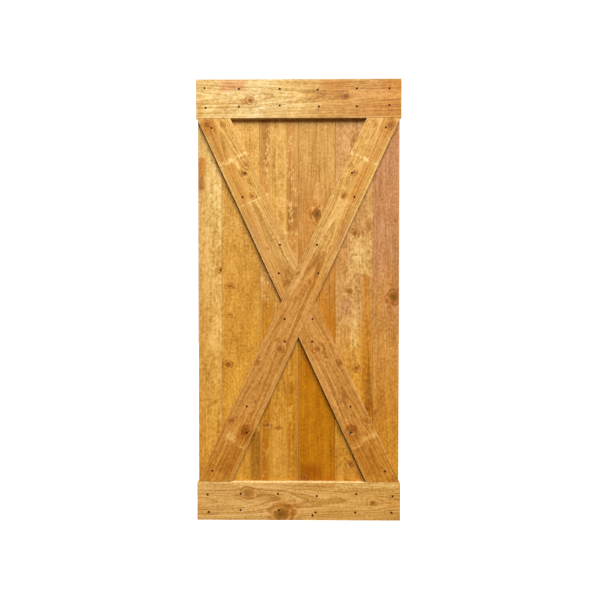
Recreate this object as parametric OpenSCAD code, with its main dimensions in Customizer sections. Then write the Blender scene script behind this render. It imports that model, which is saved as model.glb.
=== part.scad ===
// Plank door slab with a framed X on its front, screwed together from softwood boards.
// The front looks towards -Y, +X is to its right and +Z is up. The origin is at the
// bottom centre: planks lie behind y = 0, and rails and braces in front of it.

/* [Door] */
// Overall width, which is the length of both rails
door_w = 988; // [970:1:1010]
// Overall height
door_h = 2134; // [2030:1:2240]
// Thickness of every board
board_t = 19; // [17:0.5:22]

/* [Planks] */
// Step from each rail end back to the edge of the planks
panel_inset = 4; // [0:0.5:8]
// Visible width of the plank on the left edge, ripped to fit
left_plank_w = 115; // [105:1:120]
// Visible widths of the four full planks, from left to right
full_plank_w = [186, 187, 180, 184]; // [178:1:190]
// How far each tongue stands out
tongue_d = 6; // [4:0.5:8]
// Thickness of each tongue
tongue_t = 6; // [4:0.5:7]
// Play around a tongue in its groove
tongue_play = 0.3; // [0.1:0.1:0.6]
// Open gap between the faces of two planks
seam_gap = 0.4; // [0.2:0.1:1]
// Bevel along the long edges of a plank
plank_bevel = 2.2; // [0.5:0.1:4]

/* [Rails and braces] */
// Width of the top and bottom rail
rail_w = 187; // [170:1:200]
// Width of the diagonal braces
brace_w = 147; // [135:1:160]
// Bevel along the front edges of rails and braces
front_bevel = 1.5; // [0.5:0.1:3]
// Gap at the butt joints of the braces
butt_gap = 0.3; // [0.1:0.1:1]

/* [Screws] */
// Diameter of the countersunk head
head_d = 8; // [7:0.1:9]
// Diameter over the shank and thread
shank_d = 4; // [3.5:0.1:5]
// Length of a screw
screw_l = 32; // [28:1:34]
// Depth of the head under the board's face
head_sunk = 0.4; // [0.2:0.1:1]
// Length of the screw's point
point_l = 6; // [4:1:8]
// Heights of the two rows of screws above the top rail's lower edge, upper row first
top_rail_rows = [140, 55]; // [35:5:150]
// Heights of the two rows of screws above the bottom rail's lower edge, upper row first
bottom_rail_rows = [125, 45]; // [35:5:150]

/* [Hidden] */
$fn = 48;

PANEL_W = door_w - 2 * panel_inset;
// The edges of the planks' faces, from left to right: the last plank takes what is left.
SEAMS = [
    -PANEL_W / 2,
    -PANEL_W / 2 + left_plank_w,
    -PANEL_W / 2 + left_plank_w + full_plank_w[0],
    -PANEL_W / 2 + left_plank_w + full_plank_w[0] + full_plank_w[1],
    -PANEL_W / 2 + left_plank_w + full_plank_w[0] + full_plank_w[1] + full_plank_w[2],
    -PANEL_W / 2 + left_plank_w + full_plank_w[0] + full_plank_w[1] + full_plank_w[2]
        + full_plank_w[3],
    PANEL_W / 2
];
PLANK_COUNT = 6;

// A brace runs from one corner of the panel to the other, with its outer corners on the
// corners of the panel, so its lean follows from its width and the opening it fills.
OPENING_H = door_h - 2 * rail_w;
LEAN = acos(brace_w / norm([PANEL_W, OPENING_H])) - atan(OPENING_H / PANEL_W);
BRACE_HALF = OPENING_H / 2 / cos(LEAN);
MID_H = door_h / 2;

// Clearance between a screw and the hole that it has made in the wood.
HOLE_PLAY = 0.03;
HEAD_RIM = 0.4;
RECESS_L = 4.4;
RECESS_W = 0.9;
RECESS_D = 1.6;
OVERCUT = 1;

// A rail holds each plank by two screws, one in each row, marked out on the plank's middle.
// They were driven by hand, so each strays from its mark by [right, up], to the nearest 5 mm.
TOP_STRAYS = [
    [[-20, 5], [-5, 0], [5, 0], [5, -5], [10, 0], [10, 0]],
    [[-15, -5], [-5, 0], [5, 5], [10, 0], [10, 0], [10, 5]]
];
BOTTOM_STRAYS = [
    [[-10, 0], [0, 5], [-5, 5], [0, -5], [10, 5], [30, -5]],
    [[-5, -5], [0, 5], [0, 5], [-5, -5], [5, -5], [25, -5]]
];
// The bottom rail has a thirteenth screw, low on this plank, this far from its mark.
SPARE_PLANK = 4;
SPARE_STRAY = [-20, -20];
// Screws in a brace, as [share of the way from the crossing to the end, offset across it].
UPPER_ARM_SCREWS = [[0.166, 30], [0.292, -33], [0.585, 33], [0.687, -27], [0.961, 29]];
LOWER_ARM_SCREWS = [[-0.111, -25], [-0.212, 23], [-0.587, -12], [-0.706, 41], [-0.953, -32]];

// A point on a brace that leans by `lean`, as [x, z].
function on_brace(p, lean, side) = [
    side * (p[0] * BRACE_HALF * sin(lean) + p[1] * cos(lean)),
    MID_H + p[0] * BRACE_HALF * cos(lean) - p[1] * sin(lean)
];
function plank_middle(number) = (SEAMS[number - 1] + SEAMS[number]) / 2;
function rail_spots(rows, strays, foot) = [
    for (row = [0, 1], number = [1:PLANK_COUNT])
        [plank_middle(number), foot + rows[row]] + strays[row][number - 1]
];
function brace_spots(spots, side) = [for (p = spots) on_brace(p, LEAN, side)];

TOP_SPOTS = rail_spots(top_rail_rows, TOP_STRAYS, door_h - rail_w);
SPARE_SPOT = [plank_middle(SPARE_PLANK), bottom_rail_rows[1]] + SPARE_STRAY;
BOTTOM_SPOTS = concat(rail_spots(bottom_rail_rows, BOTTOM_STRAYS, 0), [SPARE_SPOT]);
LONG_SPOTS = brace_spots(concat(UPPER_ARM_SCREWS, LOWER_ARM_SCREWS), 1);
UPPER_SHORT_SPOTS = brace_spots(UPPER_ARM_SCREWS, -1);
LOWER_SHORT_SPOTS = brace_spots(LOWER_ARM_SCREWS, -1);
ALL_SPOTS = concat(TOP_SPOTS, BOTTOM_SPOTS, LONG_SPOTS, UPPER_SHORT_SPOTS, LOWER_SHORT_SPOTS);

// ---- Screws ----

// Outline of a countersunk wood screw, head up at 0 and point at screw_l.
module screw_outline() {
    cone_h = (head_d - shank_d) / 2;
    polygon([
        [0, 0], [head_d / 2, 0], [head_d / 2, HEAD_RIM],
        [shank_d / 2, HEAD_RIM + cone_h], [shank_d / 2, screw_l - point_l], [0, screw_l]
    ]);
}

// The space that a driven screw has cut out of the boards.
module hole_outline() {
    cone_h = (head_d - shank_d) / 2;
    head_r = head_d / 2 + HOLE_PLAY;
    shank_r = shank_d / 2 + HOLE_PLAY;
    polygon([
        [0, -head_sunk - OVERCUT], [head_r, -head_sunk - OVERCUT], [head_r, HEAD_RIM + HOLE_PLAY],
        [shank_r, HEAD_RIM + cone_h + HOLE_PLAY], [shank_r, screw_l + HOLE_PLAY],
        [0, screw_l + HOLE_PLAY]
    ]);
}

module screw() {
    difference() {
        rotate_extrude() screw_outline();
        for (turn = [0, 90])
            rotate([0, 0, turn])
                translate([-RECESS_L / 2, -RECESS_W / 2, -OVERCUT])
                    cube([RECESS_L, RECESS_W, OVERCUT + RECESS_D]);
    }
}

// Puts its children at each spot, under the front face and pointing into the door.
module at_spots(spots) {
    for (p = spots)
        translate([p[0], head_sunk - board_t, p[1]])
            rotate([-90, 0, 0])
                children();
}

module screws(spots) {
    color([0.13, 0.12, 0.11]) at_spots(spots) screw();
}

module screw_holes(spots) {
    at_spots(spots) rotate_extrude() hole_outline();
}

// ---- Boards ----

// A tongue-and-groove plank from the floor to the top, number 1 on the left edge.
module plank(number, shade) {
    left = SEAMS[number - 1] + (number == 1 ? 0 : seam_gap / 2);
    right = SEAMS[number] - (number == PLANK_COUNT ? 0 : seam_gap / 2);
    mid = board_t / 2;
    groove_d = tongue_d - seam_gap + tongue_play;
    groove_t = tongue_t + 2 * tongue_play;
    tongue = number == PLANK_COUNT ? [] : [
        [right, mid - tongue_t / 2], [right + tongue_d, mid - tongue_t / 2],
        [right + tongue_d, mid + tongue_t / 2], [right, mid + tongue_t / 2]
    ];
    groove = number == 1 ? [] : [
        [left, mid + groove_t / 2], [left + groove_d, mid + groove_t / 2],
        [left + groove_d, mid - groove_t / 2], [left, mid - groove_t / 2]
    ];
    color(shade)
        difference() {
            linear_extrude(door_h)
                polygon(concat(
                    [[left + plank_bevel, 0], [right - plank_bevel, 0], [right, plank_bevel]],
                    tongue,
                    [[right, board_t - plank_bevel], [right - plank_bevel, board_t]],
                    [[left + plank_bevel, board_t], [left, board_t - plank_bevel]],
                    groove,
                    [[left, plank_bevel]]
                ));
            screw_holes([for (p = ALL_SPOTS) if (p[0] > left && p[0] < right) p]);
        }
}

// Section of a rail or brace with its front edges bevelled, its back on the line y = 0.
module front_board_section(width) {
    polygon([
        [-width / 2, 0], [-width / 2, front_bevel - board_t],
        [front_bevel - width / 2, -board_t], [width / 2 - front_bevel, -board_t],
        [width / 2, front_bevel - board_t], [width / 2, 0]
    ]);
}

module rail(foot, spots) {
    difference() {
        translate([-door_w / 2, 0, foot + rail_w / 2])
            rotate([0, 90, 0])
                linear_extrude(door_w) front_board_section(rail_w);
        screw_holes(spots);
    }
}

// The long leaning board before its ends are cut level with the rails.
module leaning_board(width, side) {
    translate([0, 0, MID_H])
        rotate([0, side * LEAN, 0])
            linear_extrude(3 * BRACE_HALF, center = true) front_board_section(width);
}

// The space between the rails, from height low to height high.
module between(low, high) {
    translate([-door_w, -2 * board_t, low])
        cube([2 * door_w, 4 * board_t, high - low]);
}

module brace_stock(side) {
    intersection() {
        leaning_board(brace_w, side);
        between(rail_w + butt_gap, door_h - rail_w - butt_gap);
    }
}

module short_brace(low, high, spots) {
    difference() {
        intersection() {
            brace_stock(-1);
            between(low, high);
        }
        translate([0, 0, MID_H])
            rotate([0, LEAN, 0])
                translate([-brace_w / 2 - butt_gap, -2 * board_t, -BRACE_HALF])
                    cube([brace_w + 2 * butt_gap, 4 * board_t, 2 * BRACE_HALF]);
        screw_holes(spots);
    }
}

module top_rail() {
    color([0.86, 0.66, 0.36]) rail(door_h - rail_w, TOP_SPOTS);
}

module bottom_rail() {
    color([0.83, 0.62, 0.31]) rail(0, BOTTOM_SPOTS);
}

module long_brace() {
    color([0.82, 0.58, 0.29])
        difference() {
            brace_stock(1);
            screw_holes(LONG_SPOTS);
        }
}

module upper_short_brace() {
    color([0.85, 0.61, 0.31]) short_brace(MID_H, door_h, UPPER_SHORT_SPOTS);
}

module lower_short_brace() {
    color([0.77, 0.50, 0.20]) short_brace(0, MID_H, LOWER_SHORT_SPOTS);
}

plank(1, [0.85, 0.61, 0.25]);  // plank_1
plank(2, [0.84, 0.62, 0.30]);  // plank_2
plank(3, [0.82, 0.58, 0.27]);  // plank_3
plank(4, [0.79, 0.51, 0.18]);  // plank_4
plank(5, [0.80, 0.56, 0.29]);  // plank_5
plank(6, [0.77, 0.53, 0.30]);  // plank_6
top_rail();
bottom_rail();
long_brace();
upper_short_brace();
lower_short_brace();
screws(TOP_SPOTS);  // top_rail_screws
screws(BOTTOM_SPOTS);  // bottom_rail_screws
screws(LONG_SPOTS);  // long_brace_screws
screws(UPPER_SHORT_SPOTS);  // upper_short_brace_screws
screws(LOWER_SHORT_SPOTS);  // lower_short_brace_screws
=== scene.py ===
# %% [markdown]
# # A plank barn door with an X brace
# This door is a slab of six tongue-and-groove planks. A rail lies across its top and another
# across its bottom, and three diagonal boards make the X between them. Everything is pine with
# a honey stain, held by dark countersunk screws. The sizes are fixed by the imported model, so each
# board here is made to the box of its node, and only the looks are added.

import math

import bmesh
import bpy
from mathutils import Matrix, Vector, noise


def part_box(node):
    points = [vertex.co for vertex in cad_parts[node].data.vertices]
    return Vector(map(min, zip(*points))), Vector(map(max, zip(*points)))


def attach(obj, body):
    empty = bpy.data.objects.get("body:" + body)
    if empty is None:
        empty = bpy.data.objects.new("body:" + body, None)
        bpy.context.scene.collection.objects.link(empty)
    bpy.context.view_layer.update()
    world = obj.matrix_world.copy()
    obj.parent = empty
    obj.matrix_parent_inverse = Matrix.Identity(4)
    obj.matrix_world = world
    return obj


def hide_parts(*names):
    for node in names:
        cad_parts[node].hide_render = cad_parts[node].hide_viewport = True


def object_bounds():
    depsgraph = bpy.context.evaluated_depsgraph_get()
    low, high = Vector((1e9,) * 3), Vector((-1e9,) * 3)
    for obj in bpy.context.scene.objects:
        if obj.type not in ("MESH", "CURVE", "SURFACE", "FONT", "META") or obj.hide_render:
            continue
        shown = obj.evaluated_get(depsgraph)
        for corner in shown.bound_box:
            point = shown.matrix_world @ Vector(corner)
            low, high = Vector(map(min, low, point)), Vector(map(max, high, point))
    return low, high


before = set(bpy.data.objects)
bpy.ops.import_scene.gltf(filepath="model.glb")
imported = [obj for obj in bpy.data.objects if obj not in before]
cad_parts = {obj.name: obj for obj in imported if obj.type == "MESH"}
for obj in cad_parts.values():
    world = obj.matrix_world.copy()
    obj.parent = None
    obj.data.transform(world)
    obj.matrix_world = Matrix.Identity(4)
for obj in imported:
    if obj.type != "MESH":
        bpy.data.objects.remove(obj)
cad_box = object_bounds()
door_low, door_high = (Vector(corner) for corner in cad_box)
door_w = door_high.x - door_low.x
door_h = door_high.z - door_low.z
print(f"the door measures {door_w:.3f} by {door_h:.3f} m, and {door_high.y - door_low.y:.3f} m thick")

# %% [markdown]
# ## Camera
# The door is looked at squarely from half its height, as a product is photographed. The camera
# leans down by half a degree and turns by half a degree, so the top and the right edge come out
# a hair larger. It could be aimed with a Track To constraint, but a turn computed from the line
# of sight leaves nothing live in the file.

# %% Camera
CAMERA_REACH = 1.9
CAMERA_LENS = 23.6
LOOK_DOWN = math.radians(0.6)
TURN_LEFT = math.radians(0.46)
AIM_RIGHT = 0.0070
AIM_HEIGHT = 1.0718
aim = Vector((AIM_RIGHT, door_low.y, AIM_HEIGHT))

sight = Vector((-math.sin(TURN_LEFT), math.cos(TURN_LEFT) * math.cos(LOOK_DOWN), -math.sin(LOOK_DOWN)))
camera_data = bpy.data.cameras.new("camera")
camera_data.lens = CAMERA_LENS
camera = bpy.data.objects.new("camera", camera_data)
camera.location = aim - CAMERA_REACH * sight
camera.rotation_euler = sight.to_track_quat("-Z", "Y").to_euler()
bpy.context.scene.collection.objects.link(camera)
bpy.context.scene.camera = camera
bpy.context.scene.view_settings.view_transform = "Standard"
print(f"the camera stands {CAMERA_REACH} m in front of the door, {camera.location.z:.3f} m up")

# %% [markdown]
# ## Studio
# One very large softbox stands high in front, a little to the right. Its size makes the shadows
# that start dark at a board and fade within two fingers' width, down and to the left. A weaker
# one lights the back of the door and never shows from the front. The rest is white surroundings,
# brighter to the eye than as a light, which is what a white sweep does in a product studio. The
# light they do give is warm, and BOUNCE is its colour. The floor is treated the same way: it looks
# white with a faint shadow under the door, and what it throws back is dim and warm.

# %% Studio
KEY_REACH = 24.0
KEY_SIZE = 19.0
KEY_POWER = 12900
KEY_RISE = 1.2
KEY_SIDE = 0.3
BACK_POWER = 8500
SKY_LIGHT = 0.34
SKY_SEEN = 1.05
BOUNCE = (1.0, 0.74, 0.50, 1)
FLOOR_SIZE = 14.0
FLOOR_GLOW = 0.85
FLOOR_PAINT = 0.10
FLOOR_SEEN = 0.4


def softbox(name, direction, power):
    """A round area lamp that looks at the door from a direction."""
    lamp_data = bpy.data.lights.new(name, "AREA")
    lamp_data.shape = "DISK"
    lamp_data.size = KEY_SIZE
    lamp_data.energy = power
    lamp = bpy.data.objects.new(name, lamp_data)
    lamp.location = aim + KEY_REACH * direction
    lamp.rotation_euler = (-direction).to_track_quat("-Z", "Y").to_euler()
    bpy.context.scene.collection.objects.link(lamp)
    return lamp


softbox("key_softbox", Vector((KEY_SIDE, -1.0, KEY_RISE)).normalized(), KEY_POWER)
softbox("back_softbox", Vector((-KEY_SIDE, 1.0, KEY_RISE)).normalized(), BACK_POWER)

world = bpy.data.worlds.new("white_surroundings")
world.use_nodes = True
bpy.context.scene.world = world
sky_nodes = world.node_tree.nodes
sky_links = world.node_tree.links
sky = sky_nodes["Background"]
seen = sky_nodes.new("ShaderNodeLightPath")
strength = sky_nodes.new("ShaderNodeMapRange")
strength.inputs["To Min"].default_value = SKY_LIGHT
strength.inputs["To Max"].default_value = SKY_SEEN
sky_links.new(seen.outputs["Is Camera Ray"], strength.inputs["Value"])
sky_links.new(strength.outputs["Result"], sky.inputs["Strength"])
hue = sky_nodes.new("ShaderNodeMix")
hue.data_type = "RGBA"
hue.inputs["A"].default_value = BOUNCE
hue.inputs["B"].default_value = (1, 1, 1, 1)
sky_links.new(seen.outputs["Is Camera Ray"], hue.inputs["Factor"])
sky_links.new(hue.outputs["Result"], sky.inputs["Color"])

bpy.ops.object.select_all(action="DESELECT")
bpy.ops.mesh.primitive_plane_add(size=FLOOR_SIZE, location=(0, 0, 0))
floor = bpy.context.object
floor.name = "studio_floor"
floor_paint = bpy.data.materials.new("studio_floor")
floor_paint.use_nodes = True
floor_nodes = floor_paint.node_tree.nodes
floor_links = floor_paint.node_tree.links
floor_nodes.clear()
lit = floor_nodes.new("ShaderNodeBsdfDiffuse")
lit.inputs["Color"].default_value = (*(FLOOR_PAINT * channel for channel in BOUNCE[:3]), 1)
shown = floor_nodes.new("ShaderNodeBsdfDiffuse")
shown.inputs["Color"].default_value = (FLOOR_SEEN, FLOOR_SEEN, FLOOR_SEEN, 1)
glow = floor_nodes.new("ShaderNodeEmission")
glow.inputs["Strength"].default_value = FLOOR_GLOW
both = floor_nodes.new("ShaderNodeAddShader")
floor_path = floor_nodes.new("ShaderNodeLightPath")
choose = floor_nodes.new("ShaderNodeMixShader")
floor_out = floor_nodes.new("ShaderNodeOutputMaterial")
floor_links.new(shown.outputs[0], both.inputs[0])
floor_links.new(glow.outputs[0], both.inputs[1])
floor_links.new(floor_path.outputs["Is Camera Ray"], choose.inputs["Fac"])
floor_links.new(lit.outputs[0], choose.inputs[1])
floor_links.new(both.outputs[0], choose.inputs[2])
floor_links.new(choose.outputs[0], floor_out.inputs["Surface"])
floor.data.materials.append(floor_paint)
print(f"two softboxes of {KEY_SIZE} m stand {KEY_REACH} m away, over a floor of {FLOOR_SIZE} m")

# %% [markdown]
# ## Selecting by place
# In the editor a modeller clicks the edges to work on. A script picks them by where they are or
# which way they run, and these two helpers do that. Each starts from nothing selected, because
# an operator acts on everything that is.

# %% Selecting by place
NEAR = 1e-5


def open_for_edit(piece):
    """Makes piece the only selected object and opens it in edit mode."""
    bpy.ops.object.select_all(action="DESELECT")
    piece.select_set(True)
    bpy.context.view_layer.objects.active = piece
    bpy.ops.object.mode_set(mode="EDIT")


def pick(piece, kind, wanted):
    """Selects the faces, edges or verts of piece for which wanted(item) is true."""
    bpy.ops.mesh.select_mode(type={"faces": "FACE", "edges": "EDGE", "verts": "VERT"}[kind])
    bpy.ops.mesh.select_all(action="DESELECT")
    mesh = bmesh.from_edit_mesh(piece.data)
    for item in getattr(mesh, kind):
        if wanted(item):
            item.select_set(True)
    mesh.select_flush_mode()
    bmesh.update_edit_mesh(piece.data)


def runs_along(edge, axis):
    """True for an edge that runs along the given axis: 0 is X, 1 is Y and 2 is Z."""
    step = edge.verts[1].co - edge.verts[0].co
    return abs(abs(step[axis]) - step.length) < NEAR


def divide(piece, axis, cuts):
    """Cuts all edges that run along an axis, once for each number in cuts."""
    for number in cuts:
        pick(piece, "edges", lambda edge: runs_along(edge, axis))
        bpy.ops.mesh.subdivide(number_cuts=number)


# %% [markdown]
# ## Planks
# A real plank is pushed over a moulder, which gives it one section from end to end: a tongue on
# one edge, a groove in the other, and eased corners that show as a fine V between two planks. So
# the section is drawn flat first, as a plane that is bisected into strips, and then extruded to
# the plank's length. Cutting a finished box would take more steps and leave walls inside it.

# %% Planks
BOARD_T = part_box("top_rail")[1].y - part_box("top_rail")[0].y
JOINT_T = 0.006
TONGUE_D = 0.006
GROOVE_D = 0.0059
GROOVE_PLAY = 0.0003
VEE_R = 0.0026
ROUND_STEPS = 3
SKIN = 0.0002
CUTS = 7


def plank(node, grooved, tongued):
    """A plank inside its node's box, its section drawn on the floor and then pulled up."""
    low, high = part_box(node)
    left = low.x
    right = high.x - (TONGUE_D if tongued else 0)
    front = low.y + SKIN
    back = high.y - SKIN
    middle = (low.y + high.y) / 2
    bpy.ops.object.select_all(action="DESELECT")
    bpy.ops.mesh.primitive_plane_add(size=1, location=((left + right) / 2, middle, low.z))
    piece = bpy.context.object
    piece.name = "board_" + node
    piece.scale = (right - left, back - front, 1)
    bpy.ops.object.transform_apply(location=True, rotation=True, scale=True)
    open_for_edit(piece)
    if tongued:
        for side in (-1, 1):
            bpy.ops.mesh.select_all(action="SELECT")
            bpy.ops.mesh.bisect(plane_co=(0, middle + side * JOINT_T / 2, 0), plane_no=(0, 1, 0))
        pick(piece, "edges", lambda edge: all(abs(v.co.x - right) < NEAR for v in edge.verts)
             and abs((edge.verts[0].co.y + edge.verts[1].co.y) / 2 - middle) < NEAR)
        bpy.ops.mesh.extrude_region_move(TRANSFORM_OT_translate={"value": (TONGUE_D, 0, 0)})
    if grooved:
        half = JOINT_T / 2 + GROOVE_PLAY
        for side in (-1, 1):
            bpy.ops.mesh.select_all(action="SELECT")
            bpy.ops.mesh.bisect(plane_co=(0, middle + side * half, 0), plane_no=(0, 1, 0))
        bpy.ops.mesh.select_all(action="SELECT")
        bpy.ops.mesh.bisect(plane_co=(left + GROOVE_D, 0, 0), plane_no=(1, 0, 0))
        pick(piece, "faces", lambda face: face.calc_center_median().x < left + GROOVE_D
             and abs(face.calc_center_median().y - middle) < half)
        bpy.ops.mesh.delete(type="FACE")
    bpy.ops.mesh.select_all(action="SELECT")
    bpy.ops.mesh.dissolve_limited(angle_limit=math.radians(1))
    pick(piece, "verts", lambda vert: min(abs(vert.co.x - left), abs(vert.co.x - right)) < NEAR
         and min(abs(vert.co.y - front), abs(vert.co.y - back)) < NEAR)
    bpy.ops.mesh.bevel(offset=VEE_R, segments=ROUND_STEPS, affect="VERTICES")
    pick(piece, "edges", lambda edge: runs_along(edge, 0) and edge.calc_length() > TONGUE_D * 2)
    bpy.ops.mesh.subdivide(number_cuts=CUTS)
    bpy.ops.mesh.select_all(action="SELECT")
    bpy.ops.mesh.extrude_region_move(TRANSFORM_OT_translate={"value": (0, 0, high.z - low.z)})
    divide(piece, 2, (CUTS, CUTS))
    bpy.ops.mesh.select_all(action="SELECT")
    bpy.ops.mesh.normals_make_consistent(inside=False)
    bpy.ops.object.mode_set(mode="OBJECT")
    print(f"{piece.name}: {right - left:.3f} m wide, {len(piece.data.polygons)} faces")
    return piece


plank_names = [f"plank_{number}" for number in range(1, 7)]
boards = {
    name: plank(name, grooved=name != plank_names[0], tongued=name != plank_names[-1])
    for name in plank_names
}

# %% [markdown]
# ## Rails
# A rail is a planed board with its corners eased by sandpaper. It starts as a box, is cut into
# small squares so that it can take unevenness, and a Bevel modifier eases every sharp edge.

# %% Rails
EDGE_R = 0.0018
SHARP = math.radians(35)
SQUARE_CUTS = 3


def ease_edges(piece, width):
    """Rounds every sharp edge of piece."""
    bevel = piece.modifiers.new("eased", "BEVEL")
    bevel.width = width
    bevel.segments = ROUND_STEPS
    bevel.limit_method = "ANGLE"
    bevel.angle_limit = SHARP
    bpy.context.view_layer.objects.active = piece
    bpy.ops.object.modifier_apply(modifier=bevel.name)


def box_board(name, low, high):
    """A box between two corners, as an object at the origin, left open in edit mode."""
    bpy.ops.object.select_all(action="DESELECT")
    bpy.ops.mesh.primitive_cube_add(size=1, location=(low + high) / 2)
    piece = bpy.context.object
    piece.name = name
    piece.scale = high - low
    bpy.ops.object.transform_apply(location=True, rotation=True, scale=True)
    open_for_edit(piece)
    return piece


def rail(node):
    """A rail inside its node's box, with its back flat against the planks."""
    low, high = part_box(node)
    skin = Vector((SKIN, SKIN, SKIN))
    piece = box_board("board_" + node, low + skin, Vector((high.x - SKIN, high.y, high.z - SKIN)))
    divide(piece, 0, (CUTS, SQUARE_CUTS))
    divide(piece, 2, (CUTS,))
    bpy.ops.object.mode_set(mode="OBJECT")
    ease_edges(piece, EDGE_R)
    print(f"{piece.name}: {len(piece.data.polygons)} faces")
    return piece


for name in ("top_rail", "bottom_rail"):
    boards[name] = rail(name)

# %% [markdown]
# ## Braces
# The carpenter cuts both ends of a brace level with the rails, and butts two short braces against
# the long one. So each brace is a leaning board that is bisected where the real one is sawn, with
# the cut filled. Modelling it upright and turning it afterwards keeps its grain squares square.

# %% Braces
BRACE_W = 0.147
BUTT_GAP = 0.0003
BRACE_SPARE = 0.15

mid_h = (door_low.z + door_high.z) / 2
opening_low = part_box("bottom_rail")[1].z
opening_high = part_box("top_rail")[0].z
panel_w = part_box("plank_6")[1].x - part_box("plank_1")[0].x
opening_h = opening_high - opening_low
LEAN = math.acos(BRACE_W / math.hypot(panel_w, opening_h)) - math.atan(opening_h / panel_w)
brace_half = opening_h / 2 / math.cos(LEAN)
print(f"the braces lean by {math.degrees(LEAN):.2f} degrees")


def saw(point, away):
    """Cuts the board that is open through point and drops what lies on the side of away."""
    bpy.ops.mesh.select_all(action="SELECT")
    bpy.ops.mesh.bisect(plane_co=point, plane_no=away, use_fill=True, clear_outer=True)


def brace(node, side, cuts):
    """A leaning brace; side is 1 when its top leans right, and cuts are (point, away) pairs."""
    low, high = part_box(node)
    reach = brace_half + BRACE_SPARE
    foot = Vector((-BRACE_W / 2 + SKIN, low.y + SKIN, mid_h - reach))
    head = Vector((BRACE_W / 2 - SKIN, high.y, mid_h + reach))
    piece = box_board("board_" + node, foot, head)
    divide(piece, 2, (CUTS, CUTS))
    divide(piece, 0, (CUTS,))
    bpy.ops.mesh.select_all(action="SELECT")
    bpy.ops.transform.rotate(
        value=-side * LEAN, orient_axis="Y", orient_type="GLOBAL", center_override=(0, 0, mid_h))
    for point, away in cuts:
        saw(point, away)
    bpy.ops.object.mode_set(mode="OBJECT")
    ease_edges(piece, EDGE_R)
    print(f"{piece.name}: {len(piece.data.polygons)} faces")
    return piece


floor_cut = (Vector((0, 0, opening_low + BUTT_GAP)), Vector((0, 0, -1)))
head_cut = (Vector((0, 0, opening_high - BUTT_GAP)), Vector((0, 0, 1)))
across = Vector((math.cos(LEAN), 0, -math.sin(LEAN)))
centre = Vector((0, 0, mid_h))
left_flank = (centre - across * (BRACE_W / 2 + BUTT_GAP), across)
right_flank = (centre + across * (BRACE_W / 2 + BUTT_GAP), -across)

boards["long_brace"] = brace("long_brace", 1, [floor_cut, head_cut])
boards["upper_short_brace"] = brace("upper_short_brace", -1, [left_flank, head_cut])
boards["lower_short_brace"] = brace("lower_short_brace", -1, [right_flank, floor_cut])

# %% [markdown]
# ## Screws
# The boards are held by dark countersunk screws. A screw is turned metal, so it is made as a lathe
# would: a disc is drawn back and made narrower step by step. The cross in its head is pressed in
# by a driver bit, and here a bit-shaped block is taken away with a Boolean modifier. One screw is
# made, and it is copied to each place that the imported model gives.

# %% One screw
HEAD_R = 0.004
HEAD_RIM = 0.0004
HEAD_CONE = 0.002
SHANK_R = 0.002
POINT_START = 0.026
SCREW_L = 0.032
POINT_R = SHANK_R * 0.05
BIT_L = 0.0044
BIT_W = 0.0009
BIT_D = 0.0016
SIDES = 24


def turned(name, rings):
    """A turned piece that points back, from (depth, radius) pairs, as an object at the origin."""
    first_depth, first_radius = rings[0]
    bpy.ops.object.select_all(action="DESELECT")
    bpy.ops.mesh.primitive_circle_add(
        vertices=SIDES, radius=first_radius, fill_type="NGON",
        location=(0, first_depth, 0), rotation=(math.pi / 2, 0, 0))
    piece = bpy.context.object
    piece.name = name
    bpy.ops.object.transform_apply(location=True, rotation=True, scale=True)
    open_for_edit(piece)
    bpy.ops.mesh.select_all(action="SELECT")
    for (depth, radius), (next_depth, next_radius) in zip(rings, rings[1:]):
        bpy.ops.mesh.extrude_region_move(
            TRANSFORM_OT_translate={"value": (0, next_depth - depth, 0)})
        shrink = next_radius / radius
        bpy.ops.transform.resize(value=(shrink, 1, shrink), center_override=(0, 0, 0))
    bpy.ops.mesh.select_all(action="SELECT")
    bpy.ops.mesh.normals_make_consistent(inside=False)
    bpy.ops.object.mode_set(mode="OBJECT")
    return piece


def subtract(piece, cutter):
    """Takes cutter's shape out of piece."""
    cut = piece.modifiers.new("cut", "BOOLEAN")
    cut.operation = "DIFFERENCE"
    cut.solver = "EXACT"
    cut.object = cutter
    bpy.context.view_layer.objects.active = piece
    bpy.ops.object.modifier_apply(modifier=cut.name)


screw = turned("screw", [
    (0, HEAD_R), (HEAD_RIM, HEAD_R), (HEAD_RIM + HEAD_CONE, SHANK_R), (POINT_START, SHANK_R),
    (SCREW_L, POINT_R)])
for size in ((BIT_L, 2 * BIT_D, BIT_W), (BIT_W, 2 * BIT_D, BIT_L)):
    bpy.ops.object.select_all(action="DESELECT")
    bpy.ops.mesh.primitive_cube_add(size=1, location=(0, 0, 0))
    bit = bpy.context.object
    bit.scale = size
    bpy.ops.object.transform_apply(scale=True)
    subtract(screw, bit)
    bpy.data.objects.remove(bit)
print(f"one screw has {len(screw.data.polygons)} faces")

# %% [markdown]
# ## Driving the screws
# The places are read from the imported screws: the corners that lie highest are the rim of a head,
# and a head's middle is the middle of its corners. Nobody stops all screws at the same angle, so
# each cross is turned by a further step. The copies for one board are joined into one piece.

# %% Driving
TURN_STEP = math.radians(37)
HEAD_SPREAD = 2.2 * HEAD_R
screw_nodes = ["top_rail_screws", "bottom_rail_screws", "long_brace_screws",
               "upper_short_brace_screws", "lower_short_brace_screws"]


def screw_spots(node):
    """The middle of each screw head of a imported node."""
    corners = [corner.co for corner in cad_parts[node].data.vertices]
    top = min(corner.y for corner in corners)
    heads = []
    for corner in (corner for corner in corners if corner.y < top + NEAR):
        for head in heads:
            if (corner - head[0]).length < HEAD_SPREAD:
                head.append(corner)
                break
        else:
            heads.append([corner])
    return [
        Vector(((min(c.x for c in head) + max(c.x for c in head)) / 2, top,
                (min(c.z for c in head) + max(c.z for c in head)) / 2))
        for head in heads
    ]


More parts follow.
